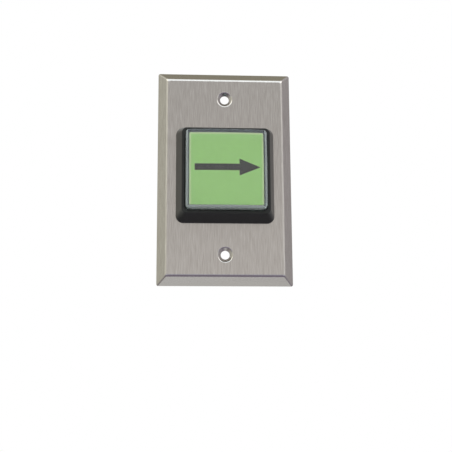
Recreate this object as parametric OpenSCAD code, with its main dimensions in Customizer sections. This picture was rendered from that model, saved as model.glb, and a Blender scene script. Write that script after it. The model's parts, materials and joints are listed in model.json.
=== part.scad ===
// Illuminated square push button on a single-gang wall plate.
// Local modelling frame: x right, y up, z out of the wall towards the user, millimetres.
// to_row() turns it so that the front faces -Y and up is +Z.
// The origin is the centre of the plate on the wall plane.

/* [Wall plate] */
// Width of the plate
plate_w = 69.85; // [66:0.05:76]
// Height of the plate
plate_h = 114.3; // [108:0.1:124]
// How far the plate's flat face stands off the wall
plate_depth = 5; // [4.8:0.1:5.6]
// Width of the bevelled border, seen from the front
bevel_w = 4.6; // [4.2:0.1:5]
// Thickness of the sheet
sheet_t = 0.8; // [0.7:0.05:0.9]
// Distance between the two mounting holes
screw_pitch = 83.3; // [80:0.1:86]
// Diameter of a mounting hole
screw_hole_d = 4.6; // [4.2:0.1:4.8]
// Diameter of the pressed dimple round a mounting hole
dimple_d = 8.2; // [7.8:0.1:8.6]

/* [Bezel housing] */
// Side of the bezel where it sits on the plate
bezel_w = 50.7; // [50.2:0.1:51.5]
// Height of the bezel's rim above the plate
bezel_h = 10.5; // [10:0.1:10.8]
// How far each side of the bezel leans in
bezel_lean = 2.85; // [2.4:0.05:3]
// Diameter of the threaded shank
shank_d = 24; // [23.6:0.1:24.2]
// Pitch of the shank's thread
thread_pitch = 1.5; // [1.25:0.05:1.75]

/* [Button] */
// Side of the square lens cap
cap_w = 41.1; // [40.8:0.1:41.2]
// Height of the cap's front edge above the plate
cap_front = 15.1; // [14.8:0.1:15.4]
// Radius of the cap's domed front
dome_r = 175; // [140:5:220]
// Wall thickness of the cap
cap_wall = 1.35; // [1.25:0.05:1.4]
// Travel of the button
travel = 3.2; // [2.8:0.1:3.2]

/* [Switch] */
// Length of the switch case, along y
case_l = 27.8; // [27.6:0.1:28]
// Height of the switch case, along z
case_h = 15.9; // [15.8:0.1:16]
// Width of the switch, case and cover together
case_w = 10.3; // [10.2:0.1:10.4]
// Slope of the lever at rest, in degrees
lever_rest = 14.6; // [14.4:0.1:14.6]

/* [Hidden] */

$fn = 64;
eps = 0.01;          // smallest overlap of joined solids
run = 1;             // how far a cut runs out, and how deep joined solids overlap
gap = 0.05;          // gap between pieces that rest against each other
fit_gap = 0.1;       // clearance of a piece seated in its pocket or guide
slide_gap = 0.3;     // clearance of a sliding face
weld_gap = 0.02;     // gap between a contact and the metal that carries it
eye_d = 1.4;         // wire eye in a spade
eye_inset = 3.2;     // from the spade's end to its eye

// Plate
sheet_z = plate_depth - sheet_t;              // back of the flat face
plate_corner_r = 1;
dimple_depth = 1;                             // depth of the pressed cone
screw_lip = 0.6;                              // straight wall of a mounting hole
shank_hole_d = shank_d + slide_gap;
peg_d = 2.8;
peg_y = -18.5;                                // locating peg below the shank
peg_len = 1.8;

// Bezel housing
bezel_r = 3.8;
bezel_foot = 0.6;                             // upright step on the plate
rim_r = 2.6;
rim_band = 0.2;
rim_z = plate_depth + bezel_h;
well_w = cap_w + 2 * slide_gap;
well_r = 2.1;
well_floor = plate_depth + 1.5;
shank_end = -16;
shank_bore_d = 21.2;
ledge_z = -4;                                 // the spring stands on this ledge
ledge_t = 2.5;
ledge_bore_d = 17.6;
thread_depth = 0.55;
thread_start = plate_depth - 1.4;
lug_w = 4;                                    // bayonet lugs of the lamp holder
lug_h = 3.2;
lug_reach = shank_d / 2 + 0.8;
lug_gap = 0.15;

// Retaining nut
nut_af = 28;
nut_flange_d = 29;
nut_flange_t = 1.4;
nut_t = 7.2;

// Lens cap and what it holds
cap_r = 1.8;
cap_edge_z = plate_depth + cap_front;
dome_top = cap_edge_z + dome_r - sqrt(pow(dome_r, 2) - pow(cap_w / 2, 2));
cap_skirt_z = 11.6;
cap_roof_z = cap_edge_z - 1.5;                // inner face of the cap's roof
cap_in_w = cap_w - 2 * cap_wall;
cap_in_r = 0.8;
insert_r = 0.6;                               // corners of the legend, diffuser and tray walls
legend_w = 37.5;
legend_t = 0.8;
legend_z = cap_roof_z - gap - legend_t;
diffuser_t = 1.2;
diffuser_z = legend_z - fit_gap - diffuser_t;

// Plunger carrier
tray_z = well_floor + travel + fit_gap;
tray_t = 1.6;
tray_w = cap_w;
tray_wall_w = cap_in_w - 2 * slide_gap;
tray_wall_t = 1.3;
tube_d = 17;
tube_bore_d = 14.6;
tube_end = -9.5;
finger_w = 3;
finger_t = 1.2;
finger_x = 7.75;                              // middle of the finger and of the switch
finger_slot = [2.8, 7];                       // opening in the holder that it passes through

// Return spring
spring_wire = 0.9;
spring_r = 9.55;
spring_turns = 6;
spring_sides = 8;
spring_steps = 24;                            // steps in one turn

// Lamp holder
holder_d = 20.8;
holder_front = -13.3;
holder_back = -17.6;
tower_d = 13.6;
tower_top = -5;
flange_d = 27;
lamp_slot = [2.7, 9.6];
lamp_slot_floor = -14;
contact_x = 1.55;                             // inner face of a lamp contact
contact_t = 0.6;
contact_w = 3;
contact_y = 3.1;
contact_top = tower_top - 0.5;
cross_z = -20.9;                              // rear face of a lamp contact's cross leg
spade_w = 4.8;
spade_t = 0.8;
spade_x = -6.4;
spade_y = 5.4;
spade_end = -33;
block_back = -24;
block_half = 9.2;
block_wall = 2.6;                             // from the spades to the block's outer face
web_t = 1.8;
post_end = 0.4;                               // how far a mounting post stands out of the switch

// Lamp
wedge_w = 2.4;
wedge_l = 9.2;
lamp_flange_d = 9.6;
lamp_flange_t = 1.5;
lead_d = 0.28;
lead_x = 1.35;
dome_d = 9.2;
dome_straight = 4.4;

// Switch
case_x = finger_x - case_w / 2;
cover_t = 2;
cover_x = case_x + case_w - cover_t;
case_front = -23.1;
case_back = case_front - case_h;
case_wall = 1.2;
mount_hole_d = 3.1;
mount_post_d = 2.95;
mount_at = [[-11.1, case_front - 13.1], [11.1, case_front - 2.8]];
rivet_at = [[11.3, case_front - 13.3], [-11.3, case_front - 3.9]];
rivet_d = 1.9;
rivet_head_d = 3.2;
rivet_head_t = 0.45;
boss_d = 5.2;
rivet_boss_d = 3.6;
boss_root = 0.5;                              // how deep a boss or ear is rooted
ear_d = 2.8;
ear_t = 1.8;
hinge_y = -12.1;
hinge_z = case_front + 1.2;
pin_d = 1.2;
pin_hole_d = pin_d + 0.06;
barrel_d = 2.2;
barrel_half = 3;
lever_t = 0.5;
lever_len = 14;
lever_w = 4.6;
lever_drop = 0.4;                             // from the hinge axis to the lever's underside
nose_r = finger_w / 2;
nose_rest = hinge_z - hinge_y * tan(lever_rest)
    + (lever_t - lever_drop + nose_r + gap) / cos(lever_rest);
plunger_y = -4.4;
plunger_d = 2.6;
plunger_arm = plunger_y - hinge_y;
plunger_rest = hinge_z + plunger_arm * tan(lever_rest)
    - (lever_drop + plunger_d / 2 + gap) / cos(lever_rest);
plunger_end = case_front - 5.75;
collar_d = 4;
collar_t = 1.2;

// Contacts and terminals
terminal_w = 4.8;
terminal_t = 0.8;
com_y = -7.6;                                 // lower face of the common terminal
blade_z = case_front - 7.9;
blade_t = 0.25;
bead_d = 0.8;                                 // rolled end of the blade, on its pivot
com_top = blade_z - bead_d / 2 - gap;
com_end = case_back - 6.5;
blade_w = 4;
blade_hole_d = 1.6;
contact_d = 3;
contact_shank_d = 1.5;
rivet_y = 7.6;                                // middle of the contacts
side_root = 2.6;                              // how far a side terminal reaches past the contacts
nc_z = case_front - 6.5;
no_z = case_front - 11;
side_end = case_l / 2 + 6.6;
moving_t = 1.1;
fixed_t = 0.8;
bow_r = 2.5;
bow_t = 0.3;
bow_w = 2;
bow_rise = 3;                                 // limit of the arch above the blade

// Turns the local frame into the row frame.
module to_row() {
    rotate([90, 0, 0]) children();
}

// A square with rounded corners, centred.
module rounded_square(w, h, r) {
    square([w - 2 * r, h], center = true);
    square([w, h - 2 * r], center = true);
    for (sx = [-1, 1], sy = [-1, 1]) {
        translate([sx * (w / 2 - r), sy * (h / 2 - r)]) circle(r);
    }
}

// A prism of that square between two heights.
module rounded_prism(w, h, r, z0, z1) {
    translate([0, 0, z0]) linear_extrude(z1 - z0) rounded_square(w, h, r);
}

// A box given by its lowest and highest corners.
module box(lo, hi) {
    translate(lo) cube(hi - lo);
}

// A round bar or bore along z.
module rod(d, z0, z1) {
    translate([0, 0, z0]) cylinder(d = d, h = z1 - z0);
}

// A round bar or bore along x, at a place in the y-z plane.
module cross_rod(d, x0, x1, at) {
    translate([x0, at[0], at[1]]) rotate([0, 90, 0]) cylinder(d = d, h = x1 - x0);
}

// A trapezoid prism: base half width b at z = 0, top half width t at height h, length l along y.
module trapezoid(b, t, h, l) {
    rotate([90, 0, 0]) translate([0, 0, -l / 2]) linear_extrude(l)
        polygon([[-b, -eps], [b, -eps], [b, 0], [t, h], [-t, h], [-b, 0]]);
}

// A mitred, bevelled block: two trapezoid prisms crossed.
module bevelled_block(w, h, bevel, depth) {
    intersection() {
        trapezoid(w / 2, w / 2 - bevel, depth, 2 * h);
        rotate([0, 0, 90]) trapezoid(h / 2, h / 2 - bevel, depth, 2 * w);
    }
}

module dimple(rim_d, z_top, depth, hole_d) {
    translate([0, 0, z_top - depth]) cylinder(d1 = hole_d, d2 = rim_d, h = depth);
}

module face_plate() {
    slope = sqrt(pow(bevel_w, 2) + pow(plate_depth, 2)) / plate_depth;
    skin = sheet_t * slope;                   // width of the rim that meets the wall
    inner_w = plate_w - 2 * skin;
    inner_h = plate_h - 2 * skin;
    inner_bevel = bevel_w * sheet_z / plate_depth;
    color([0.66, 0.64, 0.62]) to_row() difference() {
        union() {
            difference() {
                intersection() {
                    bevelled_block(plate_w, plate_h, bevel_w, plate_depth);
                    rounded_prism(plate_w, plate_h, plate_corner_r, 0, plate_depth);
                }
                bevelled_block(inner_w, inner_h, inner_bevel, sheet_z);
            }
            for (s = [-1, 1]) {
                translate([0, s * screw_pitch / 2, 0])
                    dimple(dimple_d + 2 * sheet_t, sheet_z + eps,
                        dimple_depth + screw_lip - sheet_t + eps, screw_hole_d + 2 * sheet_t);
            }
        }
        for (s = [-1, 1]) {
            translate([0, s * screw_pitch / 2, 0]) {
                dimple(dimple_d, plate_depth + eps, dimple_depth + eps, screw_hole_d);
                rod(screw_hole_d, 0, plate_depth);
            }
        }
        rod(shank_hole_d, 0, plate_depth + run);
        translate([0, peg_y, 0]) rod(peg_d + 2 * fit_gap, 0, plate_depth + run);
    }
}

// Thread rings on the shank: a saw-tooth outline turned round the axis.
module threaded_rod() {
    turns = floor((thread_start - shank_end - 1) / thread_pitch);
    root = shank_d / 2 - thread_depth;
    teeth = [for (i = [0 : turns - 1]) each [
        [root, thread_start - i * thread_pitch],
        [shank_d / 2, thread_start - (i + 0.4) * thread_pitch],
        [shank_d / 2, thread_start - (i + 0.6) * thread_pitch]
    ]];
    rotate_extrude() polygon(concat([[0, well_floor], [root, well_floor]], teeth,
        [[root, shank_end], [0, shank_end]]));
}

module bezel_housing() {
    rim_w = bezel_w - 2 * bezel_lean;
    color([0.12, 0.13, 0.13]) to_row() difference() {
        union() {
            hull() {
                rounded_slab(bezel_w, bezel_r, plate_depth, bezel_foot);
                rounded_slab(rim_w, rim_r, rim_z - rim_band, rim_band);
            }
            threaded_rod();
            translate([0, peg_y, 0]) rod(peg_d, plate_depth - peg_len, plate_depth + run);
        }
        rounded_prism(well_w, well_w, well_r, well_floor, rim_z + run);
        rod(shank_bore_d, ledge_z, well_floor + run);
        rod(ledge_bore_d, ledge_z - ledge_t - run, ledge_z + run);
        rod(shank_bore_d, shank_end - run, ledge_z - ledge_t);
        box([-lug_w / 2 - lug_gap, -shank_d, shank_end - run],
            [lug_w / 2 + lug_gap, shank_d, shank_end + lug_h + lug_gap]);
    }
}

// A thin rounded slab for hulls.
module rounded_slab(w, r, z, t) {
    for (sx = [-1, 1], sy = [-1, 1]) {
        translate([sx * (w / 2 - r), sy * (w / 2 - r), z]) cylinder(r = r, h = t, $fn = 32);
    }
}

module retaining_nut() {
    front = sheet_z - gap;
    color([0.1, 0.1, 0.11]) to_row() difference() {
        union() {
            rod(nut_flange_d, front - nut_flange_t, front);
            translate([0, 0, front - nut_t])
                cylinder(d = nut_af / cos(30), h = nut_t - nut_flange_t + eps, $fn = 6);
        }
        rod(shank_d + fit_gap, front - nut_t - run, front + run);
    }
}

module lens_cap() {
    color([0.8, 0.87, 0.87, 0.5]) to_row() difference() {
        intersection() {
            rounded_prism(cap_w, cap_w, cap_r, cap_skirt_z, dome_top + run);
            translate([0, 0, dome_top - dome_r]) sphere(dome_r, $fn = 360);
        }
        rounded_prism(cap_in_w, cap_in_w, cap_in_r, cap_skirt_z - run, cap_roof_z);
    }
}

module legend_insert() {
    color([0.57, 0.75, 0.5]) to_row()
        rounded_prism(legend_w, legend_w, insert_r, legend_z, legend_z + legend_t);
}

module diffuser_plate() {
    color([0.93, 0.94, 0.9]) to_row()
        rounded_prism(legend_w, legend_w, insert_r, diffuser_z, diffuser_z + diffuser_t);
}

module plunger_carrier() {
    inner = tray_wall_w - 2 * tray_wall_t;
    color([0.9, 0.9, 0.86]) to_row() {
        difference() {
            union() {
                rounded_prism(tray_w, tray_w, cap_r, tray_z, tray_z + tray_t);
                rounded_prism(tray_wall_w, tray_wall_w, insert_r, tray_z, diffuser_z - gap);
                rod(tube_d, tube_end, tray_z + run);
                box([finger_x - finger_t / 2, -finger_w / 2, nose_rest],
                    [finger_x + finger_t / 2, finger_w / 2, tube_end + run]);
                cross_rod(finger_w, finger_x - finger_t / 2, finger_x + finger_t / 2,
                    [0, nose_rest]);
            }
            rounded_prism(inner, inner, insert_r, tray_z + tray_t, diffuser_z + run);
            rod(tube_bore_d, tube_end - run, tray_z + tray_t + run);
        }
    }
}

// One ring of the spring's wire at turn angle a and height z.
function wire_ring(a, z) = [for (k = [0 : spring_sides - 1])
    let (b = 360 * k / spring_sides, r = spring_r + spring_wire / 2 * cos(b))
        [r * cos(a), r * sin(a), z + spring_wire / 2 * sin(b)]];

module return_spring() {
    low = ledge_z + gap + spring_wire / 2;
    high = tray_z - gap - spring_wire / 2;
    n = spring_turns * spring_steps;
    rings = [for (i = [0 : n])
        let (t = i / n, u = min(max((t * spring_turns - 1) / (spring_turns - 2), 0), 1))
            wire_ring(360 * i / spring_steps,
                low + end_rise(t) + (high - low - 2 * spring_wire) * u)];
    points = [for (ring = rings) each ring];
    sides = [for (i = [0 : n - 1], k = [0 : spring_sides - 1])
        let (k2 = (k + 1) % spring_sides, a = i * spring_sides, b = a + spring_sides)
            [a + k, b + k, b + k2, a + k2]];
    first = [for (k = [0 : spring_sides - 1]) k];
    last = [for (k = [spring_sides - 1 : -1 : 0]) n * spring_sides + k];
    color([0.72, 0.73, 0.75]) to_row() polyhedron(points, concat(sides, [first, last]));
}

// Rise of the closed first and last turns, one wire thickness each.
function end_rise(t) = spring_wire * min(t * spring_turns, 1)
    + spring_wire * max(t * spring_turns - spring_turns + 1, 0);

module lamp_holder() {
    web_x = case_x - fit_gap;
    side = contact_w / 2 + fit_gap;           // half width of a contact's slot
    slot_x = contact_x + contact_t + fit_gap;
    cross_top = cross_z + spade_t + fit_gap;
    spade_half = [spade_t / 2 + fit_gap, spade_w / 2 + fit_gap];
    color([0.93, 0.92, 0.88]) to_row() difference() {
        union() {
            rod(holder_d, holder_back, holder_front);
            rod(flange_d, holder_back, shank_end - gap);
            rod(tower_d, holder_front - run, tower_top);
            box([-lug_w / 2, -lug_reach, holder_back], [lug_w / 2, lug_reach, shank_end + lug_h]);
            box([spade_x - block_wall, -block_half, block_back],
                [web_x, block_half, holder_back + run]);
            box([web_x - web_t, -case_l / 2, case_back + run],
                [web_x, case_l / 2, block_back + 2 * run]);
            for (at = mount_at) {
                cross_rod(mount_post_d, web_x - run, case_x + case_w + post_end, at);
            }
        }
        box([finger_x - finger_slot[0] / 2, -finger_slot[1] / 2, holder_back - run],
            [finger_x + finger_slot[0] / 2, finger_slot[1] / 2, holder_front + run]);
        box([-lamp_slot[0] / 2, -lamp_slot[1] / 2, lamp_slot_floor],
            [lamp_slot[0] / 2, lamp_slot[1] / 2, tower_top + run]);
        for (s = [-1, 1]) {
            rotate([0, 0, s > 0 ? 0 : 180]) box([0, contact_y - side, cross_z - fit_gap],
                [slot_x, contact_y + side, tower_top + run]);
            box([spade_x - spade_half[0], s * contact_y - side, cross_z - slide_gap],
                [slot_x, s * contact_y + side, cross_top]);
            box([spade_x - spade_half[0], s * spade_y - spade_half[1], block_back - run],
                [spade_x + spade_half[0], s * spade_y + spade_half[1], cross_top]);
        }
    }
}

// Lamp contact: a leg beside the lamp, a cross leg and a spade behind the block.
module lamp_terminal(s) {
    leg = contact_w / 2;
    rotate([0, 0, s > 0 ? 0 : 180]) box([contact_x, contact_y - leg, cross_z],
        [contact_x + contact_t, contact_y + leg, contact_top]);
    box([spade_x - spade_t / 2, s * contact_y - leg, cross_z],
        [contact_x + contact_t, s * contact_y + leg, cross_z + spade_t]);
    difference() {
        box([spade_x - spade_t / 2, s * spade_y - spade_w / 2, spade_end],
            [spade_x + spade_t / 2, s * spade_y + spade_w / 2, cross_z + spade_t]);
        cross_rod(eye_d, spade_x - run, spade_x + run, [s * spade_y, spade_end + eye_inset]);
    }
}

module lamp_terminal_upper() {
    color([0.82, 0.69, 0.38]) to_row() lamp_terminal(1);
}

module lamp_terminal_lower() {
    color([0.82, 0.69, 0.38]) to_row() lamp_terminal(-1);
}

module lamp_base() {
    color([0.9, 0.9, 0.9]) to_row() {
        box([-wedge_w / 2, -wedge_l / 2, lamp_slot_floor + gap],
            [wedge_w / 2, wedge_l / 2, tower_top + lamp_flange_t / 3]);
        rod(lamp_flange_d, tower_top + gap, tower_top + lamp_flange_t);
    }
}

// The lamp's two wire leads, folded up its base.
module lamp_leads() {
    color([0.75, 0.75, 0.76]) to_row() for (s = [-1, 1]) {
        translate([s * lead_x, s * contact_y, 0])
            rod(lead_d, lamp_slot_floor + lead_d, tower_top - lead_d);
    }
}

module led_dome() {
    base = tower_top + lamp_flange_t + gap;
    color([0.93, 0.95, 0.97]) to_row() {
        rod(dome_d, base, base + dome_straight);
        translate([0, 0, base + dome_straight]) intersection() {
            sphere(d = dome_d);
            rod(dome_d + run, -eps, dome_d);
        }
    }
}

// An ear of the lever's hinge between two x positions, standing on the switch's front face.
module hinge_ear(x0, x1) {
    cross_rod(ear_d, x0, x1, [hinge_y, hinge_z]);
    box([x0, hinge_y - ear_d / 2, case_front - boss_root], [x1, hinge_y + ear_d / 2, hinge_z]);
}

module switch_case() {
    inside_y = case_l / 2 - case_wall;
    inside_front = case_front - case_wall;
    inside_back = case_back + case_wall;
    com_mid = com_y + terminal_t / 2;
    color([0.13, 0.13, 0.14]) to_row() difference() {
        union() {
            difference() {
                box([case_x, -case_l / 2, case_back], [cover_x, case_l / 2, case_front]);
                box([case_x + case_wall, -inside_y, inside_back],
                    [cover_x + run, inside_y, inside_front]);
            }
            for (at = mount_at) {
                cross_rod(boss_d, case_x + boss_root, cover_x, at);
            }
            for (at = rivet_at) {
                cross_rod(rivet_boss_d, case_x + boss_root, cover_x, at);
            }
            hinge_ear(case_x, case_x + ear_t);
        }
        for (at = mount_at) {
            cross_rod(mount_hole_d, case_x - run, cover_x + run, at);
        }
        for (at = rivet_at) {
            cross_rod(rivet_d + fit_gap, case_x - run, cover_x + run, at);
        }
        cross_rod(pin_hole_d, case_x - run, case_x + ear_t + run, [hinge_y, hinge_z]);
        translate([finger_x, plunger_y, 0])
            rod(plunger_d + fit_gap, inside_front - run, case_front + run);
        terminal_slot([finger_x, com_mid, case_back], [terminal_w, terminal_t, 2 * case_wall + run]);
        for (z = [nc_z, no_z]) {
            terminal_slot([finger_x, case_l / 2, z + terminal_t / 2],
                [terminal_w, 2 * case_wall + run, terminal_t]);
        }
    }
}

// The slot that a terminal passes through, centred on it with a small clearance.
module terminal_slot(at, size) {
    translate(at) cube(size + 2 * gap * [1, 1, 1], center = true);
}

module switch_cover() {
    color([0.16, 0.16, 0.17]) to_row() difference() {
        union() {
            box([cover_x + gap, -case_l / 2, case_back],
                [cover_x + cover_t, case_l / 2, case_front]);
            hinge_ear(cover_x + cover_t - ear_t, cover_x + cover_t);
        }
        for (at = mount_at) {
            cross_rod(mount_hole_d, cover_x - run, cover_x + cover_t + run, at);
        }
        for (at = rivet_at) {
            cross_rod(rivet_d + fit_gap, cover_x - run, cover_x + cover_t + run, at);
        }
        cross_rod(pin_hole_d, cover_x - run, cover_x + cover_t + run, [hinge_y, hinge_z]);
    }
}

module switch_plunger() {
    collar_top = case_front - case_wall - fit_gap;
    color([0.75, 0.15, 0.12]) to_row() translate([finger_x, plunger_y, 0]) {
        rod(plunger_d, plunger_end, plunger_rest);
        rod(collar_d, collar_top - collar_t, collar_top);
        translate([0, 0, plunger_rest]) sphere(d = plunger_d);
    }
}

module switch_lever() {
    half = lever_w / 2;
    color([0.74, 0.74, 0.75]) to_row() translate([finger_x, hinge_y, hinge_z])
        rotate([lever_rest, 0, 0]) difference() {
            union() {
                box([-half, 0, -lever_drop], [half, lever_len, lever_t - lever_drop]);
                cross_rod(barrel_d, -barrel_half, barrel_half, [0, 0]);
            }
            cross_rod(pin_d + fit_gap, -barrel_half - run, barrel_half + run, [0, 0]);
        }
}

module lever_pin() {
    color([0.7, 0.7, 0.72]) to_row()
        cross_rod(pin_d, case_x + fit_gap, cover_x + cover_t - fit_gap, [hinge_y, hinge_z]);
}

module snap_blade() {
    half = blade_w / 2;
    pivot_y = com_y + terminal_t / 2;
    color([0.8, 0.62, 0.35]) to_row() difference() {
        union() {
            box([finger_x - half, pivot_y, blade_z - blade_t / 2],
                [finger_x + half, rivet_y + half, blade_z + blade_t / 2]);
            cross_rod(bead_d, finger_x - half, finger_x + half, [pivot_y, blade_z]);
        }
        translate([finger_x, rivet_y, 0]) rod(blade_hole_d, blade_z - run, blade_z + run);
    }
}

// The arched spring tongue between the plunger and the blade.
module bow_spring() {
    foot = blade_z + blade_t / 2 + gap;
    centre_z = plunger_end - gap - bow_r;
    color([0.82, 0.66, 0.4]) to_row() intersection() {
        difference() {
            cross_rod(2 * bow_r, finger_x - bow_w / 2, finger_x + bow_w / 2, [plunger_y, centre_z]);
            cross_rod(2 * (bow_r - bow_t), finger_x - bow_w, finger_x + bow_w,
                [plunger_y, centre_z]);
        }
        box([0, plunger_y - 2 * bow_r, foot], [2 * finger_x, plunger_y + 2 * bow_r, foot + bow_rise]);
    }
}

// The moving contact: one head on each side of the blade and a shank through it.
module blade_contact() {
    color([0.86, 0.86, 0.85]) to_row() translate([finger_x, rivet_y, 0]) {
        rod(contact_d, blade_z + blade_t / 2 + weld_gap, blade_z + moving_t / 2);
        rod(contact_d, blade_z - moving_t / 2, blade_z - blade_t / 2 - weld_gap);
        rod(contact_shank_d, blade_z - moving_t / 2, blade_z + moving_t / 2);
    }
}

module fixed_contacts() {
    color([0.86, 0.86, 0.85]) to_row() translate([finger_x, rivet_y, 0]) {
        rod(contact_d, nc_z - fixed_t, nc_z - weld_gap);
        rod(contact_d, no_z + terminal_t + weld_gap, no_z + terminal_t + fixed_t);
    }
}

// A spade terminal along y, from inside the case out of its end.
module side_terminal(z) {
    difference() {
        box([finger_x - terminal_w / 2, rivet_y - side_root, z],
            [finger_x + terminal_w / 2, side_end, z + terminal_t]);
        translate([finger_x, side_end - eye_inset, 0]) rod(eye_d, z - run, z + terminal_t + run);
    }
}

module com_terminal() {
    y1 = com_y + terminal_t;
    color([0.82, 0.69, 0.38]) to_row() difference() {
        box([finger_x - terminal_w / 2, com_y, com_end], [finger_x + terminal_w / 2, y1, com_top]);
        translate([finger_x, com_y - run, com_end + eye_inset]) rotate([-90, 0, 0])
            rod(eye_d, 0, terminal_t + 2 * run);
    }
}

module no_terminal() {
    color([0.82, 0.69, 0.38]) to_row() side_terminal(no_z);
}

module nc_terminal() {
    color([0.82, 0.69, 0.38]) to_row() side_terminal(nc_z);
}

// Two rivets that close the switch, heads on the cover.
module cover_rivets() {
    face = cover_x + cover_t;
    color([0.7, 0.7, 0.7]) to_row() for (at = rivet_at) {
        cross_rod(rivet_d, case_x + fit_gap, face + fit_gap, at);
        cross_rod(rivet_head_d, face + gap, face + rivet_head_t, at);
    }
}

face_plate();
bezel_housing();
retaining_nut();
lens_cap();
legend_insert();
diffuser_plate();
plunger_carrier();
return_spring();
lamp_holder();
lamp_terminal_upper();
lamp_terminal_lower();
lamp_base();
lamp_leads();
led_dome();
switch_case();
switch_cover();
switch_plunger();
switch_lever();
lever_pin();
snap_blade();
bow_spring();
blade_contact();
fixed_contacts();
com_terminal();
no_terminal();
nc_terminal();
cover_rivets();
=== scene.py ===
"""Looks of the illuminated square push button: detailed meshes, materials, light and camera.

Shapes are written in the part's local frame, in millimetres: x right, y up, z out of the wall.
to_row() turns a point into the row frame, in metres.
"""

import json
import math

import bmesh
import bpy
from mathutils import Matrix, Vector

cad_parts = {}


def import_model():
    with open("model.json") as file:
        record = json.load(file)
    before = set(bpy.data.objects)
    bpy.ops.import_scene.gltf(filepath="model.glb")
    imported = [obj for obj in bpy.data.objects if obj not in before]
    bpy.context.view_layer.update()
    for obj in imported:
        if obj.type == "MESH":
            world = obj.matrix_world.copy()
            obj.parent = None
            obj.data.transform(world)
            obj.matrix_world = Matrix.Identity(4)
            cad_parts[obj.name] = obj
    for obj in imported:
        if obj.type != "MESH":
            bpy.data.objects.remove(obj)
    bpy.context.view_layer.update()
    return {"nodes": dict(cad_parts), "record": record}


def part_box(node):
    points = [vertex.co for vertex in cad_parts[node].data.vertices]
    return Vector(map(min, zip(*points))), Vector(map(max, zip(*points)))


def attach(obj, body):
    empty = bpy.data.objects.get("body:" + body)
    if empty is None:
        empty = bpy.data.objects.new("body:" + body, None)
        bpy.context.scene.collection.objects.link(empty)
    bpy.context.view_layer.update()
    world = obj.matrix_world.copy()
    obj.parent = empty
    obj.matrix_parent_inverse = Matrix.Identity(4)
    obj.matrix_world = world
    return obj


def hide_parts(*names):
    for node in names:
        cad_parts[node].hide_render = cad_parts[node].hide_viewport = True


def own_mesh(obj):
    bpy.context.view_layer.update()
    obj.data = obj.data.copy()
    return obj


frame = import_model()

MM = 0.001
SCENE = bpy.context.scene
BODY_OF = {n: b for b, nodes in frame["record"]["behaviour"]["bodies"].items() for n in nodes}


# ---------------------------------------------------------------- places from the frame

def span(node):
    """Lowest and highest corner of a CAD node, in local millimetres."""
    lo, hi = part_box(node)
    return Vector((lo.x, lo.z, -hi.y)) / MM, Vector((hi.x, hi.z, -lo.y)) / MM


def to_row(p):
    return Vector((p[0], -p[2], p[1])) * MM


PLATE_HI = span("face_plate")[1]
BEZEL_LO, BEZEL_HI = span("bezel_housing")
CAP_LO, CAP_HI = span("lens_cap")
LEGEND_HI = span("legend_insert")[1]
DOME_LO, DOME_HI = span("led_dome")
SPRING_LO, SPRING_HI = span("return_spring")


# ---------------------------------------------------------------- outlines and lathes

def rounded_loop(half_w, half_h, r, z, corner=8, side=1):
    """A rounded rectangle. z is a height, or a function of x and y."""
    points = []
    corners = [(1, 1), (-1, 1), (-1, -1), (1, -1)]
    for k, (sx, sy) in enumerate(corners):
        for i in range(corner + 1):
            a = math.radians(90 * (k + i / corner))
            points.append((sx * (half_w - r) + r * math.cos(a), sy * (half_h - r) + r * math.sin(a)))
        nx, ny = corners[(k + 1) % 4]
        a = math.radians(90 * (k + 1))
        x0, y0 = points[-1]
        x1, y1 = nx * (half_w - r) + r * math.cos(a), ny * (half_h - r) + r * math.sin(a)
        points += [(x0 + (x1 - x0) * j / side, y0 + (y1 - y0) * j / side) for j in range(1, side)]
    return [(x, y, z(x, y) if callable(z) else z) for x, y in points]


RING_SIDES = 64                # sides of a plain turned shape
HOLE_SIDES = 48                # sides of a dimple and its hole


def circle_loop(r, z, n=RING_SIDES, at=(0, 0)):
    turns = [2 * math.pi * i / n for i in range(n)]
    return [(at[0] + r * math.cos(a), at[1] + r * math.sin(a), z) for a in turns]


def arc(centre, r, start, end, steps):
    """Points of an arc in a section plane; the angles are in degrees."""
    angles = [math.radians(start + (end - start) * i / steps) for i in range(steps + 1)]
    return [(centre[0] + r * math.cos(a), centre[1] + r * math.sin(a)) for a in angles]


class Solid:
    """One closed mesh, made of rings of points joined by faces."""

    def __init__(self):
        self.bm = bmesh.new()

    def ring(self, points):
        return [self.bm.verts.new(to_row(p)) for p in points]

    def bridge(self, a, b):
        for i in range(len(a)):
            j = (i + 1) % len(a)
            self.bm.faces.new((a[i], a[j], b[j], b[i]))

    def skin(self, loops):
        """Joins loops of equal length one after another, and returns the first and last ring."""
        rings = [self.ring(points) for points in loops]
        for a, b in zip(rings, rings[1:]):
            self.bridge(a, b)
        return rings[0], rings[-1]

    def cap(self, ring):
        self.bm.faces.new(ring)

    def fill(self, *rings):
        """Fills the flat area between an outline and the holes in it."""
        edges = []
        for ring in rings:
            for i, vert in enumerate(ring):
                following = ring[(i + 1) % len(ring)]
                edges.append(self.bm.edges.get((vert, following)) or self.bm.edges.new((vert, following)))
        bmesh.ops.triangle_fill(self.bm, edges=edges, use_beauty=True)

    def piece(self, name, node, material, sharp=40):
        bmesh.ops.recalc_face_normals(self.bm, faces=self.bm.faces[:])
        return finish_piece(self.bm, name, [node], material, sharp)


def finish_piece(bm, name, nodes, material, sharp):
    """Turns a bmesh into a piece that stands for CAD nodes and rides on their body."""
    mesh = bpy.data.meshes.new(name)
    bm.to_mesh(mesh)
    bm.free()
    mesh.shade_smooth()
    mesh.set_sharp_from_angle(angle=math.radians(sharp))
    mesh.materials.append(MATERIALS[material])
    piece = bpy.data.objects.new(name, mesh)
    SCENE.collection.objects.link(piece)
    weighted = piece.modifiers.new("weighted_normals", "WEIGHTED_NORMAL")
    weighted.keep_sharp = True
    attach(piece, BODY_OF[nodes[0]])
    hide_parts(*nodes)
    return piece


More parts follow.
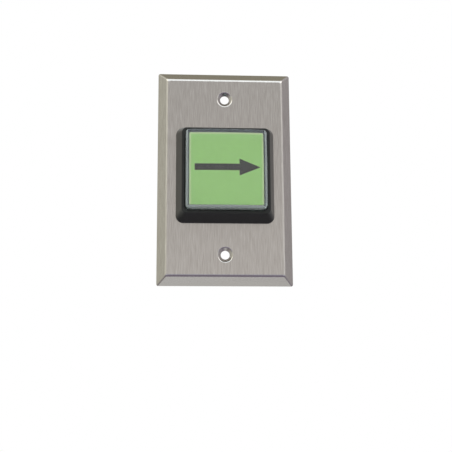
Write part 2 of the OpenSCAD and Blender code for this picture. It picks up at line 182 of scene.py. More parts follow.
def lathe(solid, profile, at=(0, 0), n=RING_SIDES):
    """Turns a profile of (radius, z) points. A radius of 0 at either end closes it."""
    rings = [circle_loop(r, z, n, at) for r, z in profile if r > 0]
    first, last = solid.skin(rings)
    if profile[0][0] == 0:
        solid.cap(first)
    if profile[-1][0] == 0:
        solid.cap(last)
    return first, last


# ---------------------------------------------------------------- materials

def srgb(r, g, b):
    """A colour given as display values from 0 to 255."""
    def linear(c):
        c /= 255
        return c / 12.92 if c <= 0.04045 else ((c + 0.055) / 1.055) ** 2.4
    return (linear(r), linear(g), linear(b), 1)


def new_material(name, **sockets):
    """A Principled material; each keyword names a socket, with _ for a space."""
    material = bpy.data.materials.new(name)
    material.use_nodes = True
    shader = material.node_tree.nodes["Principled BSDF"]
    for socket, value in sockets.items():
        shader.inputs[socket.replace("_", " ")].default_value = value
    return material


NOISE_DETAIL = 3.0
NOISE_BAND = (0.3, 0.7)        # where in the noise the dark colour ends and the light one starts


def add_grain(material, size, dark, light, rough, bump):
    """Noise in the colour, roughness and bump (strength, distance in mm).

    size is the grain in mm along x, y and z of the row. dark and light are the noise's two colours.
    """
    tree = material.node_tree
    shader = tree.nodes["Principled BSDF"]
    coordinates = tree.nodes.new("ShaderNodeTexCoord")
    mapping = tree.nodes.new("ShaderNodeMapping")
    mapping.inputs["Scale"].default_value = [1 / (s * MM) for s in size]
    tree.links.new(coordinates.outputs["Object"], mapping.inputs["Vector"])
    noise = tree.nodes.new("ShaderNodeTexNoise")
    noise.inputs["Scale"].default_value = 1.0
    noise.inputs["Detail"].default_value = NOISE_DETAIL
    tree.links.new(mapping.outputs["Vector"], noise.inputs["Vector"])
    ramp = tree.nodes.new("ShaderNodeValToRGB")
    for element, position, colour in zip(ramp.color_ramp.elements, NOISE_BAND, (dark, light)):
        element.position = position
        element.color = colour
    tree.links.new(noise.outputs["Fac"], ramp.inputs["Fac"])
    tree.links.new(ramp.outputs["Color"], shader.inputs["Base Color"])
    roughness = tree.nodes.new("ShaderNodeMapRange")
    roughness.inputs["To Min"].default_value, roughness.inputs["To Max"].default_value = rough
    tree.links.new(noise.outputs["Fac"], roughness.inputs["Value"])
    tree.links.new(roughness.outputs["Result"], shader.inputs["Roughness"])
    relief = tree.nodes.new("ShaderNodeBump")
    relief.inputs["Strength"].default_value = bump[0]
    relief.inputs["Distance"].default_value = bump[1] * MM
    tree.links.new(noise.outputs["Fac"], relief.inputs["Height"])
    tree.links.new(relief.outputs["Normal"], shader.inputs["Normal"])
    return ramp


def maths(tree, operation, *values):
    """A Math node; each value is a socket or a number."""
    node = tree.nodes.new("ShaderNodeMath")
    node.operation = operation
    for socket, value in zip(node.inputs, values):
        if isinstance(value, float):
            socket.default_value = value
        else:
            tree.links.new(value, socket)
    return node.outputs[0]


def mix(tree, blend, factor, a, b):
    """Mixes two colours, each a socket or three numbers."""
    node = tree.nodes.new("ShaderNodeMix")
    node.data_type = "RGBA"
    node.blend_type = blend
    for socket, value in ((node.inputs["Factor"], factor), (node.inputs[6], a), (node.inputs[7], b)):
        if isinstance(value, bpy.types.NodeSocket):
            tree.links.new(value, socket)
        elif isinstance(value, float):
            socket.default_value = value
        else:
            socket.default_value = (*value, 1)
    return node.outputs[2]


def brushed_plate():
    """Stainless steel brushed along the plate's height."""
    material = new_material("brushed_plate", Metallic=1.0, Anisotropic=0.5)
    dark, light = srgb(187, 182, 177), srgb(208, 204, 200)
    add_grain(material, (0.26, 0.26, 7), dark, light, rough=(0.2, 0.26), bump=(0.05, 0.02))
    return material


def moulded(name, dark, light, rough, grain=0.3, bump=0.12, specular=0.5):
    """Plastic from a finely eroded mould."""
    material = new_material(name, Specular_IOR_Level=specular)
    add_grain(material, (grain,) * 3, dark, light, rough, bump=(bump, 0.02))
    return material


def metal(name, dark, light, rough):
    """Stamped or drawn metal."""
    material = new_material(name, Metallic=1.0)
    add_grain(material, (0.4, 0.4, 0.4), dark, light, rough, bump=(0.08, 0.01))
    return material


def border(tree, start, end, upward, result=(0.0, 1.0)):
    """Rises from start to end, in mm from the middle, towards both sides and up (1.0) or down (-1.0)."""
    parts = tree.nodes.new("ShaderNodeSeparateXYZ")
    tree.links.new(tree.nodes.new("ShaderNodeTexCoord").outputs["Object"], parts.inputs[0])
    sideways = maths(tree, "ABSOLUTE", parts.outputs["X"])
    reach = maths(tree, "MAXIMUM", sideways, maths(tree, "MULTIPLY", parts.outputs["Z"], upward))
    edge = tree.nodes.new("ShaderNodeMapRange")
    edge.interpolation_type = "SMOOTHSTEP"
    edge.inputs["From Min"].default_value = start * MM
    edge.inputs["From Max"].default_value = end * MM
    edge.inputs["To Min"].default_value, edge.inputs["To Max"].default_value = result
    tree.links.new(reach, edge.inputs["Value"])
    return edge.outputs["Result"]


CAP_IN_HALF = 19.2             # half the width inside the cap's wall
GAP_SHADE_BLEND = (18.8, 19.05)      # where painted shade darkens the cap over the gap round the legend, at the sides and the top, and on the top wall
# painted shade: the cap's colour over the gap round the legend and on its top wall
PAINTED_GAP_SHADE = (196, 208, 219)
WALL_LIGHT_BLEND = (19.2, 19.55)     # where the painted light on the side and bottom walls starts
# painted light: a paler colour for the side and bottom walls, standing in for light caught in the clear
# wall
PAINTED_WALL_LIGHT = (222, 234, 236)
DOME_TINT = (253, 255, 254)
CLEAR = (0.985, 0.7)           # transmission of the dome, and of the side and bottom walls, lowered there for their painted light


def clear_lens():
    """Clear acrylic, with painted shade over the gap round the legend and on the top wall, and painted
    light as a paler, less clear wall at the sides and the bottom.
    """
    material = new_material("clear_lens", Roughness=0.01, IOR=1.49)
    tree = material.node_tree
    shader = tree.nodes["Principled BSDF"]
    # painted shade over the gap round the legend and on the top wall
    dome = mix(tree, "MIX", border(tree, *GAP_SHADE_BLEND, 1.0), srgb(*DOME_TINT)[:3], srgb(*PAINTED_GAP_SHADE)[:3])
    # painted light: the side and bottom walls turn paler
    colour = mix(tree, "MIX", border(tree, *WALL_LIGHT_BLEND, -1.0), dome, srgb(*PAINTED_WALL_LIGHT)[:3])
    tree.links.new(colour, shader.inputs["Base Color"])
    # and let less light through, so the painted light shows
    tree.links.new(border(tree, *WALL_LIGHT_BLEND, -1.0, CLEAR), shader.inputs["Transmission Weight"])
    return material


LEGEND_EDGE = 1.3              # width of the legend's paler edge
LEGEND_EDGE_TINT = (228, 255, 192)


def green_legend():
    """Green translucent film with a paler edge where light leaks round it."""
    material = new_material("green_legend")
    dark, light = srgb(184, 243, 144), srgb(190, 248, 150)
    ramp = add_grain(material, (1.6, 1.6, 1.6), dark, light, rough=(0.4, 0.5), bump=(0.04, 0.01))
    tree = material.node_tree
    edge = border(tree, LEGEND_HI.x - LEGEND_EDGE, LEGEND_HI.x - LEGEND_EDGE / 3, 1.0)
    colour = mix(tree, "MIX", edge, ramp.outputs["Color"], srgb(*LEGEND_EDGE_TINT)[:3])
    tree.links.new(colour, tree.nodes["Principled BSDF"].inputs["Base Color"])
    return material


# A plastic: its grain's dark and light colour, its roughness from and to, and settings of its own.
PLASTICS = {
    "black_housing": ((29, 31, 30), (38, 40, 39), (0.26, 0.38), {"specular": 0.34}),
    "black_nut": ((24, 24, 26), (34, 34, 37), (0.42, 0.58), {"grain": 0.5}),
    "white_diffuser": ((228, 229, 222), (238, 239, 233), (0.45, 0.55), {}),
    "white_carrier": ((219, 218, 206), (232, 231, 221), (0.38, 0.5), {}),
    "ivory_holder": ((224, 219, 202), (237, 233, 219), (0.36, 0.5), {"grain": 0.4}),
    "lamp_plastic": ((214, 216, 216), (230, 232, 232), (0.4, 0.52), {}),
    "lamp_epoxy": ((222, 230, 238), (234, 240, 246), (0.12, 0.2), {"grain": 1.2, "bump": 0.02}),
    "switch_black": ((28, 28, 31), (40, 40, 43), (0.4, 0.55), {"grain": 0.35}),
    "plunger_red": ((168, 34, 28), (190, 46, 38), (0.3, 0.42), {}),
}
# A metal: its grain's dark and light colour, and its roughness from and to.
METALS = {
    "spring_steel": ((168, 170, 175), (196, 198, 203), (0.2, 0.34)),
    "terminal_brass": ((196, 160, 88), (220, 188, 118), (0.22, 0.36)),
    "tinned_wire": ((178, 180, 184), (204, 206, 210), (0.26, 0.4)),
    "stainless_strip": ((176, 176, 178), (206, 206, 208), (0.2, 0.32)),
    "contact_bronze": ((186, 142, 92), (210, 168, 116), (0.26, 0.38)),
    "contact_silver": ((206, 206, 204), (228, 228, 226), (0.16, 0.28)),
}


def make_materials():
    made = {"brushed_plate": brushed_plate(), "clear_lens": clear_lens(), "green_legend": green_legend()}
    for name, (dark, light, rough, own) in PLASTICS.items():
        made[name] = moulded(name, srgb(*dark), srgb(*light), rough, **own)
    for name, (dark, light, rough) in METALS.items():
        made[name] = metal(name, srgb(*dark), srgb(*light), rough)
    return made


MATERIALS = make_materials()


# ---------------------------------------------------------------- the wall plate

SHEET = 0.8                    # thickness of the plate's sheet
BEVEL = 4.6                    # width of the bevelled border
BEND_R = 2.5                   # outer radius of the bend
PLATE_CORNER = 1.0
RIM_BREAK = (0.06, 0.07)       # broken corner of the rear rim, across and up
CORNER_STEPS = 6               # steps round a corner of the plate, the cap and the slabs
SCREW_PITCH = 83.3
SCREW_HOLE_R = 2.3
DIMPLE_R = 4.35
DIMPLE_ROLL = 1.2              # radius of the dimple's rolled edge
DIMPLE_SLOPE = 41              # degrees
DIMPLE_LIP = 0.12              # broken corner round the screw hole
SHANK_HOLE_R = 12.15
PEG_HOLE_R = 1.5
PEG_Y = -18.5


def dimple_profile(top):
    """(radius, z) from the flat face over a rolled edge, down the cone and through the hole."""
    rolled = arc((DIMPLE_R, top - DIMPLE_ROLL), DIMPLE_ROLL, 90, 90 + DIMPLE_SLOPE, steps=8)
    roll_r, roll_z = rolled[-1]
    lip_r = SCREW_HOLE_R + DIMPLE_LIP
    lip_z = roll_z - (roll_r - lip_r) * math.tan(math.radians(DIMPLE_SLOPE))
    rear_z = lip_z - SHEET + DIMPLE_LIP
    hole = [(lip_r, lip_z), (SCREW_HOLE_R, lip_z - DIMPLE_LIP), (SCREW_HOLE_R, rear_z)]
    return rolled + hole + [(SCREW_HOLE_R + SHEET, rear_z), (DIMPLE_R + SHEET, top - SHEET)]


def face_plate():
    """The bent sheet with its dimples, the hole for the shank and the one for the peg."""
    half_w, half_h, depth = PLATE_HI.x, PLATE_HI.y, PLATE_HI.z
    slope = math.degrees(math.atan2(depth, BEVEL))
    centre = (BEVEL + BEND_R * math.tan(math.radians(slope) / 2), depth - BEND_R)
    sheet_z = depth - SHEET
    rim = SHEET / math.sin(math.radians(slope))
    outside = [(RIM_BREAK[0], 0), (0, RIM_BREAK[1])] + arc(centre, BEND_R, 90 + slope, 90, steps=10)
    inside = [(rim, 0)] + arc(centre, BEND_R - SHEET, 90 + slope, 90, steps=4)
    solid = Solid()

    def loops(section):
        return [rounded_loop(half_w - i, half_h - i, PLATE_CORNER, z, CORNER_STEPS) for i, z in section]

    outer_rim, front_edge = solid.skin(loops(outside))
    inner_rim, rear_edge = solid.skin(loops(inside))
    solid.bridge(outer_rim, inner_rim)
    front, rear = [front_edge], [rear_edge]
    for s in (-1, 1):
        at = (0, s * SCREW_PITCH / 2)
        first, last = lathe(solid, dimple_profile(depth), at, HOLE_SIDES)
        front.append(first)
        rear.append(last)
    for r, y in ((SHANK_HOLE_R, 0), (PEG_HOLE_R, PEG_Y)):
        first, last = lathe(solid, [(r, depth), (r, sheet_z)], (0, y))
        front.append(first)
        rear.append(last)
    solid.fill(*front)
    solid.fill(*rear)
    return solid.piece("face_plate_sheet", "face_plate", "brushed_plate", sharp=35)


# ---------------------------------------------------------------- the bezel and its threaded shank

BEZEL_CORNER = 3.8
BEZEL_FOOT = 0.6               # upright step where the bezel meets the plate
FOOT_EDGE = 0.12               # broken corner at the plate
FOOT_BLEND = (0.1, 0.2)        # below and above the step's top, where the upright turns into the slope
RIM_CORNER = 2.6
LEAN = 2.85
LEAN_END = 0.2                 # how far under the rim's top the slope has its full lean
RIM_FILLET = 0.5
LIP_R = 0.3                    # radius of the well's lip
BEZEL_STEPS = 8                # steps round a corner of the bezel
WELL_HALF = 20.85
WELL_CORNER = 2.1
WELL_FLOOR = 6.5
SHANK_ROOT = 11.45
SHANK_BORE = 10.6
SHANK_SIDES = 96
THREAD_DEPTH = 0.55
THREAD_PITCH = 1.5
THREAD_TOP = 3.6
THREAD_FLANK = 0.4             # share of a turn over which the thread rises
THREAD_ROWS = 8                # rings of points in one pitch
THREAD_STOP = 0.4              # plain length at the shank's end
LEDGE_TOP = -4
LEDGE_R = 8.8
LEDGE_T = 2.5
SLOT_HALF = 2.15
SLOT_TOP = -12.65
SLOT_REACH = (20, 1)           # reach of the slot's cutter from the middle to each side, and below the end
PEG_R = 1.4
PEG_END = 3.2
PEG_CHAMFER = 0.2


def bezel_section(plate_z, rim_z):
    """(half width, corner radius, z) up the outside of the bezel, over the rim and down its well."""
    foot = plate_z + BEZEL_FOOT
    rise = rim_z - LEAN_END - foot
    half = BEZEL_HI.x
    tilt = math.atan2(LEAN, rise)

    def side(z):
        share = (z - foot) / rise
        return half - LEAN * share, BEZEL_CORNER - (BEZEL_CORNER - RIM_CORNER) * share

    start_z = rim_z - RIM_FILLET * (1 - math.sin(tilt))
    start_half, start_r = side(start_z)
    centre = start_half - RIM_FILLET * math.cos(tilt)
    rolled = arc((centre, rim_z - RIM_FILLET), RIM_FILLET, math.degrees(tilt), 90, steps=6)
    upright_end, slope_start = foot - FOOT_BLEND[0], foot + FOOT_BLEND[1]
    section = [(half - FOOT_EDGE, BEZEL_CORNER - FOOT_EDGE, plate_z)]
    section += [(half, BEZEL_CORNER, z) for z in (plate_z + FOOT_EDGE, upright_end)]
    section += [(*side(slope_start), slope_start)]
    section += [(h, start_r - (start_half - h), z) for h, z in rolled]
    lip = arc((WELL_HALF + LIP_R, rim_z - LIP_R), LIP_R, 90, 180, steps=4)
    section += [(h, WELL_CORNER + h - WELL_HALF, z) for h, z in lip]
    section += [(WELL_HALF, WELL_CORNER, WELL_FLOOR)]
    return section


def thread_loops(top, bottom):
    """Rings of the shank's outside, where the thread's height follows a helix."""
    rows = int((THREAD_TOP - bottom) * THREAD_ROWS / THREAD_PITCH)
    loops = [circle_loop(SHANK_ROOT, top, SHANK_SIDES)]
    for row in range(rows + 1):
        z = THREAD_TOP - row * THREAD_PITCH / THREAD_ROWS
        fade = min(1, row / THREAD_ROWS, (rows - row) / THREAD_ROWS)
        ring = []
        for i in range(SHANK_SIDES):
            turn = (row / THREAD_ROWS + i / SHANK_SIDES) % 1
            height = THREAD_DEPTH * fade * min(1, (0.5 - abs(turn - 0.5)) / THREAD_FLANK)
            a = 2 * math.pi * i / SHANK_SIDES
            ring.append(((SHANK_ROOT + height) * math.cos(a), (SHANK_ROOT + height) * math.sin(a), z))
        loops.append(ring)
    return loops


def carve(piece, lo, hi):
    """Cuts a box, given by two corners in local millimetres, out of a piece."""
    bm = bmesh.new()
    bmesh.ops.create_cube(bm, size=1)
    for vert in bm.verts:
        share = [c + 0.5 for c in vert.co]
        vert.co = to_row([lo[k] + (hi[k] - lo[k]) * share[k] for k in range(3)])
    bmesh.ops.recalc_face_normals(bm, faces=bm.faces[:])
    mesh = bpy.data.meshes.new("cutter")
    bm.to_mesh(mesh)
    bm.free()
    cutter = bpy.data.objects.new("cutter", mesh)
    SCENE.collection.objects.link(cutter)
    cut = piece.modifiers.new("cut", "BOOLEAN")
    cut.object = cutter
    cut.operation = "DIFFERENCE"
    cut.solver = "EXACT"
    weighted = piece.modifiers["weighted_normals"]
    weighted.show_viewport = False
    bpy.context.view_layer.update()
    evaluated = piece.evaluated_get(bpy.context.evaluated_depsgraph_get())
    piece.data = bpy.data.meshes.new_from_object(evaluated)
    piece.modifiers.remove(cut)
    weighted.show_viewport = True
    bpy.data.objects.remove(cutter)


def bezel_housing():
    """The flared bezel with its well, and behind it the threaded, slotted shank and the peg."""
    plate_z, rim_z, end = PLATE_HI.z, BEZEL_HI.z, BEZEL_LO.z
    solid = Solid()
    section = bezel_section(plate_z, rim_z)
    foot, well_floor = solid.skin([rounded_loop(h, h, r, z, BEZEL_STEPS) for h, r, z in section])
    bore = [(SHANK_BORE, WELL_FLOOR), (SHANK_BORE, LEDGE_TOP), (LEDGE_R, LEDGE_TOP),
            (LEDGE_R, LEDGE_TOP - LEDGE_T), (SHANK_BORE, LEDGE_TOP - LEDGE_T), (SHANK_BORE, end)]
    top_ring, end_inner = lathe(solid, bore, n=SHANK_SIDES)
    root_ring, thread_end = solid.skin(thread_loops(plate_z, end + THREAD_STOP))
    solid.fill(well_floor, top_ring)
    solid.bridge(thread_end, end_inner)
    peg = [(PEG_R, plate_z), (PEG_R, PEG_END + PEG_CHAMFER), (PEG_R - PEG_CHAMFER, PEG_END), (0, PEG_END)]
    peg_ring, _ = lathe(solid, peg, (0, PEG_Y), n=32)
    solid.fill(foot, root_ring, peg_ring)
    piece = solid.piece("bezel_housing_moulding", "bezel_housing", "black_housing", sharp=35)
    sideways, below = SLOT_REACH
    carve(piece, (-SLOT_HALF, -sideways, end - below), (SLOT_HALF, sideways, SLOT_TOP))
    return piece


# ---------------------------------------------------------------- the lens cap and what it holds

DOME_RADIUS = 175
DOME_INSETS = (1.4, 2.6, 4.5, 7, 10, 13, 16, 18.5, 20)     # rings of points on the dome, from its edge
CAP_CORNER = 1.8
CAP_CORNER_LEAST = 0.35        # corner radius of the dome's inner rings
CAP_FILLET = 0.8
CAP_FILLET_STEPS = 8
CAP_IN_CORNER = 0.8
CAP_SIDE_STEPS = 14            # points along one straight side
ROOF_GAP = 0.05                # between the legend and the cap's roof
SKIRT_EDGE = 0.08              # broken corner at the foot of the cap's wall


def dome_z(x, y):
    """Height of the cap's front over a point of the wall plane."""
    return CAP_HI.z - DOME_RADIUS + math.sqrt(DOME_RADIUS ** 2 - x * x - y * y)


def lens_cap():
    """The clear cap: a square skirt with a rounded edge under a shallow dome, hollow up to its roof."""
    half = CAP_HI.x
    skirt = CAP_LO.z
    roof = LEGEND_HI.z + ROOF_GAP

    def loop(inset, z):
        corner = max(CAP_CORNER - inset, CAP_CORNER_LEAST)
        return rounded_loop(half - inset, half - inset, corner, z, CORNER_STEPS, CAP_SIDE_STEPS)

    def rolled(share):
        """A ring of the rounded edge: share 0 is on the side wall, 1 on the dome."""
        a = math.radians(90 * share)
        drop = CAP_FILLET * (1 - math.sin(a))
        return loop(CAP_FILLET * (1 - math.cos(a)), lambda x, y: dome_z(x, y) - drop)

    outside = [loop(SKIRT_EDGE, skirt), loop(0, skirt + SKIRT_EDGE)]
    outside += [rolled(i / CAP_FILLET_STEPS) for i in range(CAP_FILLET_STEPS + 1)]
    outside += [loop(inset, dome_z) for inset in DOME_INSETS]
    inner = (CAP_IN_HALF, CAP_IN_HALF, CAP_IN_CORNER)
    inside = [rounded_loop(*inner, z, CORNER_STEPS, CAP_SIDE_STEPS) for z in (skirt, roof)]
    solid = Solid()
    outer_skirt, crown = solid.skin(outside)
    inner_skirt, roof_ring = solid.skin(inside)
    solid.cap(crown)
    solid.cap(roof_ring)
    solid.bridge(outer_skirt, inner_skirt)
    return solid.piece("lens_cap_moulding", "lens_cap", "clear_lens", sharp=50)


def slab(name, node, material, corner=0.6, edge=0.12):
    """A flat square plate with softened edges, of a CAD node's size."""
    lo, hi = span(node)
    section = [(edge, lo.z), (0, lo.z + edge), (0, hi.z - edge), (edge, hi.z)]
    solid = Solid()
    loops = [rounded_loop(hi.x - i, hi.y - i, corner - i, z, CORNER_STEPS) for i, z in section]
    bottom, top = solid.skin(loops)
    solid.cap(bottom)
    solid.cap(top)
    return solid.piece(name, node, material, sharp=50)


# ---------------------------------------------------------------- the return spring

SPRING_TURNS = 6
SPRING_WIRE = 0.9
SPRING_R = 9.55
SPRING_STEPS = 48              # rings of points in one turn
SPRING_SIDES = 12              # points round the wire


def return_spring():
    """The coil, with a closed turn at each end."""
    low, high = SPRING_LO.z + SPRING_WIRE / 2, SPRING_HI.z - SPRING_WIRE / 2
    solid = Solid()
    loops = []
    for i in range(SPRING_TURNS * SPRING_STEPS + 1):
        turn = i / SPRING_STEPS
        closed = min(turn, 1) + max(turn - SPRING_TURNS + 1, 0)
        free = min(max((turn - 1) / (SPRING_TURNS - 2), 0), 1)
        z = low + SPRING_WIRE * closed + (high - low - 2 * SPRING_WIRE) * free
        a = 2 * math.pi * turn
        ring = []
        for k in range(SPRING_SIDES):
            b = 2 * math.pi * k / SPRING_SIDES
            r = SPRING_R + SPRING_WIRE / 2 * math.cos(b)
            ring.append((r * math.cos(a), r * math.sin(a), z + SPRING_WIRE / 2 * math.sin(b)))
        loops.append(ring)
    first, last = solid.skin(loops)
    solid.cap(first)
    solid.cap(last)
    spring = solid.piece("return_spring_coil", "return_spring", "spring_steel", sharp=60)
    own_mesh(spring)
    return spring


# ---------------------------------------------------------------- pieces refined from the CAD shape

WELD = 1e-6                    # points closer than this, in metres, are one point
FLAT_ANGLE = math.radians(1)   # faces that meet at less than this are one face
EDGE_ANGLE = math.radians(30)  # edges sharper than this are rounded


def refine(node, material, width):
    """A copy of a CAD node's shape with its sharp edges rounded, width in mm."""
    bm = bmesh.new()
    bm.from_mesh(frame["nodes"][node].data)
    bmesh.ops.remove_doubles(bm, verts=bm.verts[:], dist=WELD)
    bmesh.ops.dissolve_limit(bm, angle_limit=FLAT_ANGLE, verts=bm.verts[:], edges=bm.edges[:])
    edges = [e for e in bm.edges if e.is_manifold and e.calc_face_angle(0) > EDGE_ANGLE]
    bmesh.ops.bevel(bm, geom=edges, offset=width * MM, offset_type="OFFSET", segments=2,
                    profile=0.5, affect="EDGES", clamp_overlap=True)
    return finish_piece(bm, node + "_fine", [node], material, sharp=35)


LAMP_EDGE = 0.15               # broken corner at the foot of the lamp's dome
LAMP_TIP = 0.02                # radius of the last ring before its tip
LAMP_TIP_ANGLE = 89.5


def led_dome():
    """The lamp's clear dome: a short cylinder under half a sphere."""
    r, base = DOME_HI.x, DOME_LO.z
    straight = DOME_HI.z - r
    solid = Solid()
    profile = [(0, base), (r - LAMP_EDGE, base), (r, base + LAMP_EDGE)]
    profile += [(max(x, LAMP_TIP), z) for x, z in arc((0, straight), r, 0, LAMP_TIP_ANGLE, steps=16)]
    profile += [(0, DOME_HI.z)]
    lathe(solid, profile)
    return solid.piece("led_dome_lens", "led_dome", "lamp_epoxy", sharp=50)


BOW_EDGE = 0.04


def bow_spring():
    """The arched tongue between the plunger and the blade, with its edges rounded."""
    bow = refine("bow_spring", "contact_bronze", BOW_EDGE)
    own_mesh(bow)
    return bow


def keep_cad(node, material):
    """Leaves a CAD node's shape as it is and gives it its finish."""
    mesh = frame["nodes"][node].data
    mesh.materials.clear()
    mesh.materials.append(MATERIALS[material])


# ---------------------------------------------------------------- the legend's pictogram

ARROW_TAIL, ARROW_NECK, ARROW_TIP = -16, 6.5, 17
ARROW_SHAFT, ARROW_WING = 1.7, 4.35     # half widths of the shaft and of the head
ARROW_MIDDLE = 0.5
PRINT_GAP = 0.005
PRINT_THICKNESS = 0.025


def pictogram():
    """A generic arrow printed on the legend."""
    lower = [(ARROW_TAIL, -ARROW_SHAFT), (ARROW_NECK, -ARROW_SHAFT), (ARROW_NECK, -ARROW_WING)]
    outline = lower + [(ARROW_TIP, 0)] + [(x, -y) for x, y in reversed(lower)]
    heights = (LEGEND_HI.z + PRINT_GAP, LEGEND_HI.z + PRINT_GAP + PRINT_THICKNESS)
    solid = Solid()
    bottom, top = solid.skin([[(x, y + ARROW_MIDDLE, z) for x, y in outline] for z in heights])
    solid.cap(bottom)
    solid.cap(top)
    bmesh.ops.recalc_face_normals(solid.bm, faces=solid.bm.faces[:])
    mesh = bpy.data.meshes.new("legend_arrow")
    solid.bm.to_mesh(mesh)
    solid.bm.free()
    ink = new_material("legend_ink")
    dark, light = srgb(16, 16, 19), srgb(24, 24, 27)
    add_grain(ink, (0.4, 0.4, 0.4), dark, light, rough=(0.5, 0.6), bump=(0.03, 0.01))
    mesh.materials.append(ink)
    arrow = bpy.data.objects.new("legend_arrow", mesh)
    SCENE.collection.objects.link(arrow)
    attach(arrow, "lens")
    return arrow


# ---------------------------------------------------------------- stage, light and camera

AIM = Vector((0.00071, 0, -0.02564))
CAMERA_AZIMUTH = -3.52         # degrees, as are the next two
CAMERA_ELEVATION = -12.49
CAMERA_ROLL = 0.30
CAMERA_DISTANCE = 0.480
CAMERA_LENS = 73.94
CAMERA_SENSOR = 36
CAMERA_NEAR = 0.01


def camera():
    """Looks at the button from a little below and left of square."""
    a, e = math.radians(CAMERA_AZIMUTH), math.radians(CAMERA_ELEVATION)
    back = Vector((math.sin(a) * math.cos(e), -math.cos(a) * math.cos(e), math.sin(e)))
    right = Vector((math.cos(a), math.sin(a), 0))
    up = back.cross(right)
    roll = math.radians(CAMERA_ROLL)
    up, right = up * math.cos(roll) + right * math.sin(roll), right * math.cos(roll) - up * math.sin(roll)
    data = bpy.data.cameras.new("camera")
    data.lens = CAMERA_LENS
    data.sensor_width = CAMERA_SENSOR
    data.clip_start = CAMERA_NEAR
    shot = bpy.data.objects.new("camera", data)
    SCENE.collection.objects.link(shot)
    place = Matrix((right, up, back)).transposed().to_4x4()
    place.translation = AIM + back * CAMERA_DISTANCE
    shot.matrix_world = place
    SCENE.camera = shot


def sky_ramp(tree, height, stops):
    """A colour ramp over elevation, from -90 to 90 degrees. A stop is (elevation, colour, radiance)."""
    ramp = tree.nodes.new("ShaderNodeValToRGB")
    elements = ramp.color_ramp.elements
    while len(elements) < len(stops):
        elements.new(0.5)
    for element, (elevation, colour, radiance) in zip(elements, stops):
        element.position = (elevation + 90) / 180
        element.color = (*(c * radiance for c in colour), 1)
    tree.links.new(height, ramp.inputs["Fac"])
    return ramp.outputs["Color"]


WHITE, WARM = (1.0, 1.0, 1.0), (1.0, 0.98, 0.955)
COOL, ICE = (0.98, 1.0, 1.02), (0.93, 1.0, 1.05)
OLIVE, PLUM, LILAC = (1.0, 0.95, 0.74), (1.0, 0.88, 1.14), (0.88, 0.9, 1.1)
# The surroundings in four sectors of azimuth, counted from the front: elevation, colour, radiance.
CENTRE_SKY = [
    (-90, COOL, 0.8), (-72, COOL, 0.8), (-62, PLUM, 0.27), (-26, PLUM, 0.27), (-17, LILAC, 0.62),
    (2, WARM, 0.72), (10, WARM, 0.75), (21, WARM, 0.53), (27, WARM, 0.53), (33, ICE, 1.85),
    (66, ICE, 1.85), (76, OLIVE, 0.42), (90, OLIVE, 0.4),
]
WING_SKY = [
    (-90, COOL, 0.8), (-72, COOL, 0.8), (-60, PLUM, 0.24), (-24, PLUM, 0.24), (-14, LILAC, 0.5),
    (2, WHITE, 0.92), (24, WHITE, 0.92), (29, WHITE, 2.3), (48, WHITE, 2.3), (56, WHITE, 0.7),
    (90, OLIVE, 0.4),
]
SIDE_SKY = [
    (-90, COOL, 0.7), (0, WHITE, 0.62), (26, WHITE, 0.62), (40, WHITE, 0.75), (66, WHITE, 0.75),
    (90, OLIVE, 0.4),
]
BACK_SKY = [
    (-90, COOL, 0.8), (-60, COOL, 0.6), (10, WHITE, 0.5), (40, WHITE, 0.45), (56, OLIVE, 0.34),
    (90, OLIVE, 0.36),
]
# Azimuths between which one sector turns into the next.
CENTRE_TO_WING, WING_TO_SIDE, SIDE_TO_BACK = (24, 38), (56, 76), (112, 140)
# The tints of the left and the right half, and about how far from the middle one turns into the other.
LEFT_TO_RIGHT = (-20, 20)
LEFT_WING, RIGHT_WING = (1.0, 1.0, 0.9), (1.04, 1.04, 1.04)
LEFT_SIDE, RIGHT_SIDE = (1.0, 1.0, 0.87), (0.74, 0.71, 0.73)


def map_range(tree, value, low, high):
    """Where an angle in radians lies between two angles in degrees, from 0 to 1."""
    node = tree.nodes.new("ShaderNodeMapRange")
    node.inputs["From Min"].default_value = math.radians(low)
    node.inputs["From Max"].default_value = math.radians(high)
    tree.links.new(value, node.inputs["Value"])
    return node.outputs["Result"]


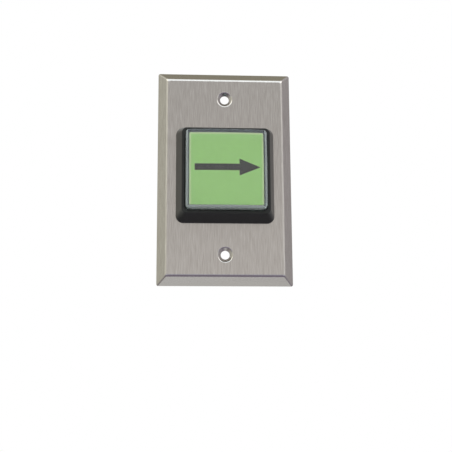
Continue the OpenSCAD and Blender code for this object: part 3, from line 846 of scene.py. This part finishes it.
def world():
    """Soft studio surroundings by direction, and a plain white backdrop for the camera."""
    sky = bpy.data.worlds.new("studio")
    SCENE.world = sky
    sky.use_nodes = True
    tree = sky.node_tree
    parts = tree.nodes.new("ShaderNodeSeparateXYZ")
    tree.links.new(tree.nodes.new("ShaderNodeTexCoord").outputs["Generated"], parts.inputs[0])
    elevation = maths(tree, "ARCSINE", parts.outputs["Z"])
    height = map_range(tree, elevation, -90, 90)
    sideways = maths(tree, "ABSOLUTE", parts.outputs["X"])
    azimuth = maths(tree, "ARCTAN2", sideways, maths(tree, "MULTIPLY", parts.outputs["Y"], -1.0))
    # Near the middle the direction's X is close to its azimuth in radians.
    to_right = map_range(tree, parts.outputs["X"], *LEFT_TO_RIGHT)

    def tinted(stops, left, right):
        tint = mix(tree, "MIX", to_right, left, right)
        return mix(tree, "MULTIPLY", 1.0, sky_ramp(tree, height, stops), tint)

    light = sky_ramp(tree, height, CENTRE_SKY)
    for edge, sector in (
        (CENTRE_TO_WING, tinted(WING_SKY, LEFT_WING, RIGHT_WING)),
        (WING_TO_SIDE, tinted(SIDE_SKY, LEFT_SIDE, RIGHT_SIDE)),
        (SIDE_TO_BACK, sky_ramp(tree, height, BACK_SKY)),
    ):
        light = mix(tree, "MIX", map_range(tree, azimuth, *edge), light, sector)
    background = tree.nodes["Background"]
    tree.links.new(light, background.inputs["Color"])
    background.inputs["Strength"].default_value = 1.0
    backdrop = tree.nodes.new("ShaderNodeBackground")
    backdrop.inputs["Color"].default_value = (1, 1, 1, 1)
    path = tree.nodes.new("ShaderNodeLightPath")
    choose = tree.nodes.new("ShaderNodeMixShader")
    tree.links.new(path.outputs["Is Camera Ray"], choose.inputs["Fac"])
    tree.links.new(background.outputs[0], choose.inputs[1])
    tree.links.new(backdrop.outputs[0], choose.inputs[2])
    tree.links.new(choose.outputs[0], tree.nodes["World Output"].inputs["Surface"])


FLOOR_Z = -0.22
FLOOR_HALF = 1.6


def floor():
    """A plain pale floor, which the glossy pieces don't reflect."""
    bm = bmesh.new()
    bmesh.ops.create_grid(bm, x_segments=1, y_segments=1, size=FLOOR_HALF)
    for vert in bm.verts:
        vert.co.z = FLOOR_Z
    mesh = bpy.data.meshes.new("floor")
    bm.to_mesh(mesh)
    bm.free()
    mesh.materials.append(new_material("floor_paper", Base_Color=srgb(246, 246, 245), Roughness=0.9))
    ground = bpy.data.objects.new("floor", mesh)
    ground.visible_glossy = False
    SCENE.collection.objects.link(ground)


# ---------------------------------------------------------------- build

camera()
world()
floor()
SCENE.view_settings.view_transform = "Standard"

face_plate()
bezel_housing()
lens_cap()
slab("legend_insert_film", "legend_insert", "green_legend")
slab("diffuser_plate_slab", "diffuser_plate", "white_diffuser")
pictogram()
return_spring()
bow_spring()
led_dome()

REFINED = {
    "retaining_nut": ("black_nut", 0.3),
    "plunger_carrier": ("white_carrier", 0.15),
    "lamp_holder": ("ivory_holder", 0.15),
    "lamp_base": ("lamp_plastic", 0.12),
    "lamp_terminal_upper": ("terminal_brass", 0.08),
    "lamp_terminal_lower": ("terminal_brass", 0.08),
    "switch_case": ("switch_black", 0.15),
    "switch_cover": ("switch_black", 0.15),
    "com_terminal": ("terminal_brass", 0.08),
    "no_terminal": ("terminal_brass", 0.08),
    "nc_terminal": ("terminal_brass", 0.08),
    "switch_lever": ("stainless_strip", 0.06),
    "cover_rivets": ("stainless_strip", 0.08),
}
for node, (material, width) in REFINED.items():
    refine(node, material, width)

KEPT = {
    "lamp_leads": "tinned_wire",
    "switch_plunger": "plunger_red",
    "lever_pin": "stainless_strip",
    "snap_blade": "contact_bronze",
    "blade_contact": "contact_silver",
    "fixed_contacts": "contact_silver",
}
for node, material in KEPT.items():
    keep_cad(node, material)
